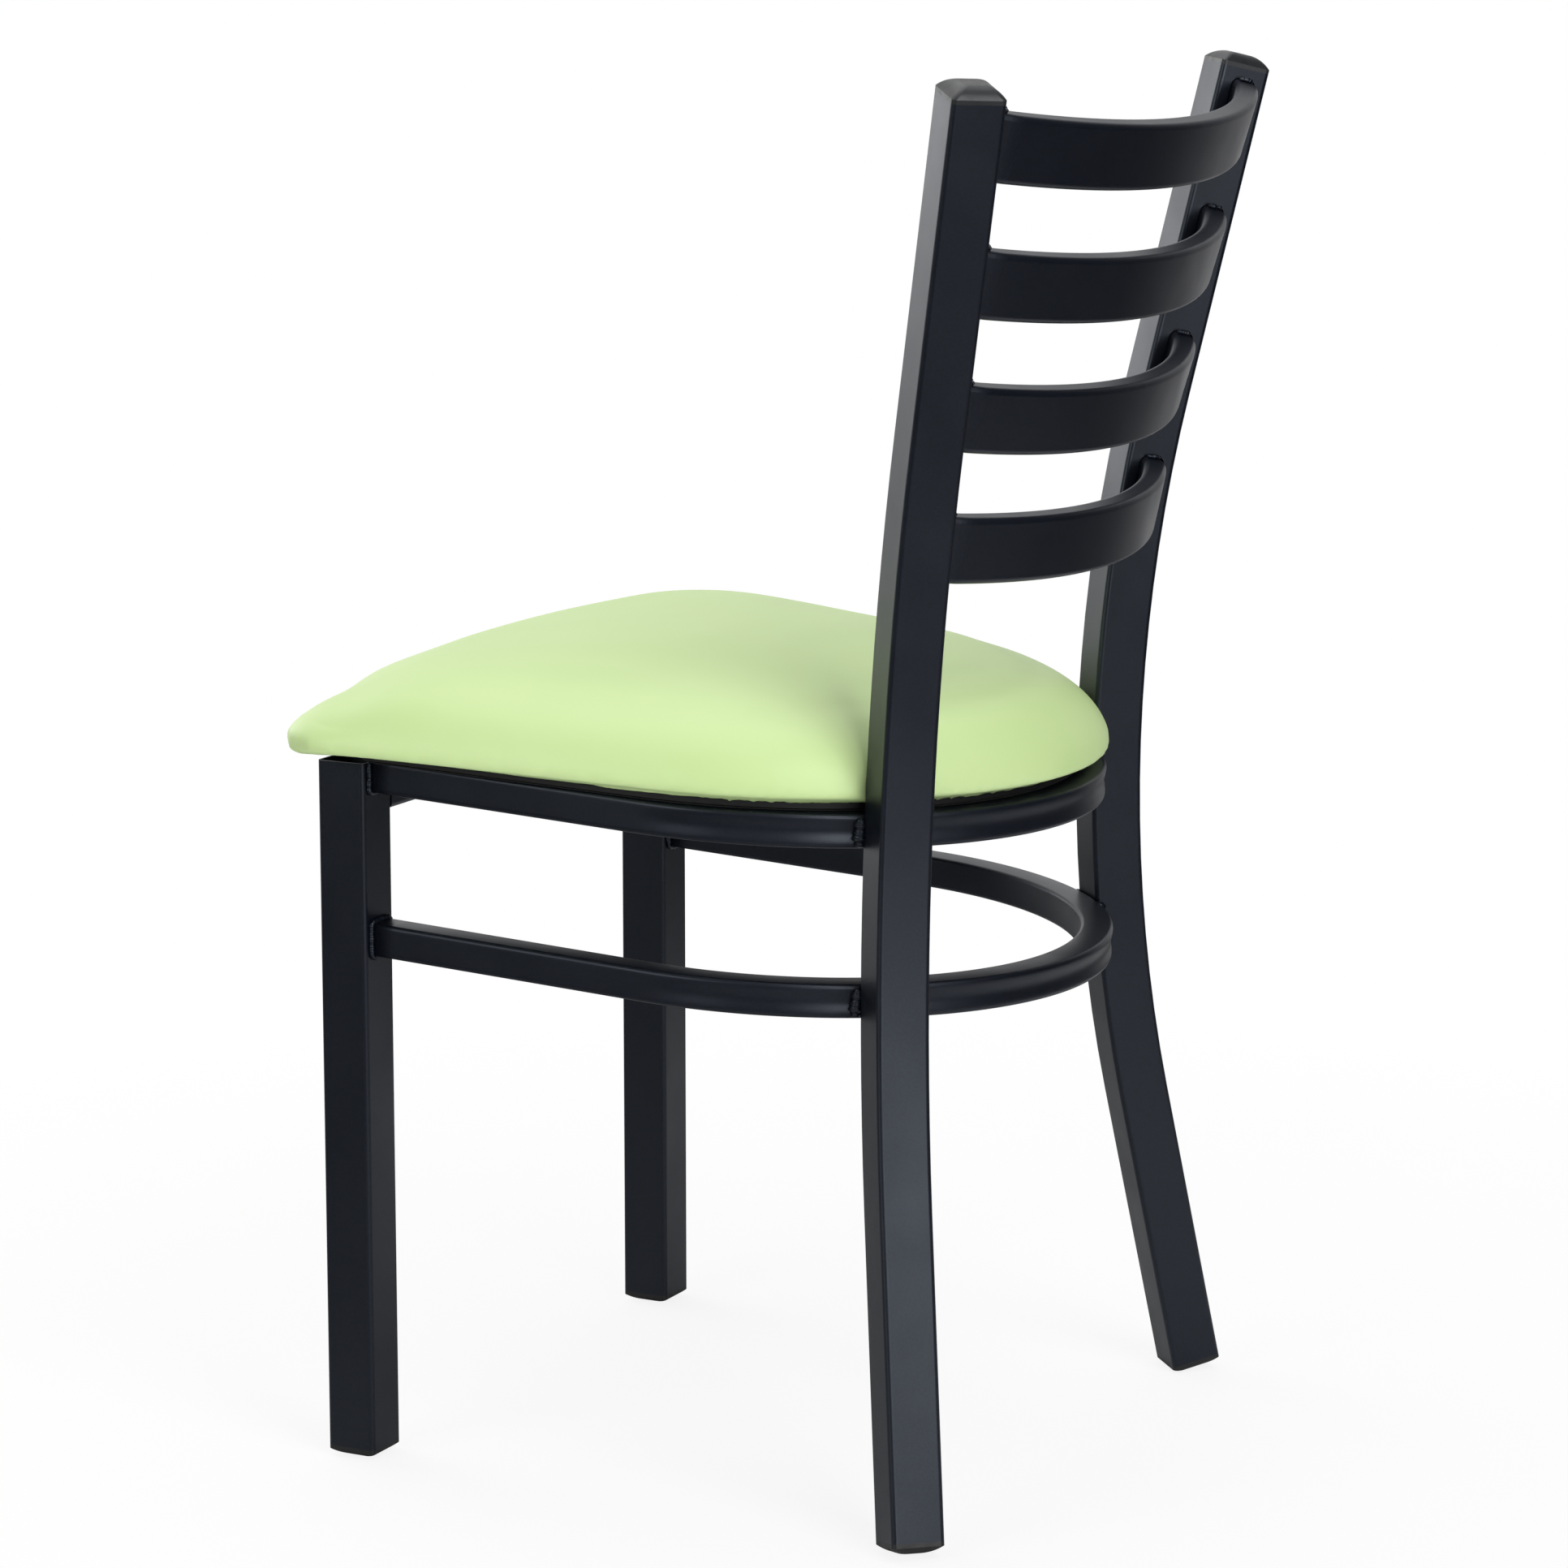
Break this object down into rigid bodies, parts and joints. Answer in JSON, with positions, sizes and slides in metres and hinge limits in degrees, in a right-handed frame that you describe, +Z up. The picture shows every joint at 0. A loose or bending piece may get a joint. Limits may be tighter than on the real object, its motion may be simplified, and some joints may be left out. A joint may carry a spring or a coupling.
{
  "type": "ladderback chair",
  "caption": "Armless ladderback dining chair: black square-tube steel frame, bowed back slats, half-round seat and stretcher rings, crowned green vinyl seat.",
  "frame": {"origin": "on the floor, midway between the left and right sides and midway over the chair's whole depth", "axes": "+Z up; the chair faces -Y, so +Y is to the rear; +X is to the sitter's left"},
  "size_m": [0.48, 0.5011, 0.8323],
  "materials": {
    "frame_powder": "satin black powder coat with a fine grain",
    "weld_powder": "powder coat over weld bead",
    "vinyl": "satin lime green vinyl with a fine leather grain",
    "plastic": "matt moulded black polyethylene",
    "plywood": "raw birch plywood",
    "dust_cloth": "black non-woven cloth",
    "zinc": "bright zinc plate"
  },
  "bodies": {
    "root": {"front_leg_left": "frame_powder", "front_leg_right": "frame_powder", "front_rail": "frame_powder", "rear_post_left": "frame_powder", "rear_post_right": "frame_powder", "seat_ring": "frame_powder", "stretcher_ring": "frame_powder", "slat_top": "frame_powder", "slat_upper": "frame_powder", "slat_lower": "frame_powder", "slat_bottom": "frame_powder", "seat_tab_front_left": "frame_powder", "seat_tab_front_right": "frame_powder", "seat_tab_rear_left": "frame_powder", "seat_tab_rear_right": "frame_powder", "seat_ring_welds": "weld_powder", "stretcher_welds": "weld_powder", "slat_welds": "weld_powder", "post_cap_left": "plastic", "post_cap_right": "plastic", "foot_glide_front_left": "plastic", "foot_glide_front_right": "plastic", "foot_glide_rear_left": "plastic", "foot_glide_rear_right": "plastic", "seat_cushion": "vinyl", "cover_margin": "vinyl", "seat_board": "plywood", "dust_cover": "dust_cloth", "seat_screws": "zinc", "cover_staples": "zinc"}
  },
  "joints": []
}
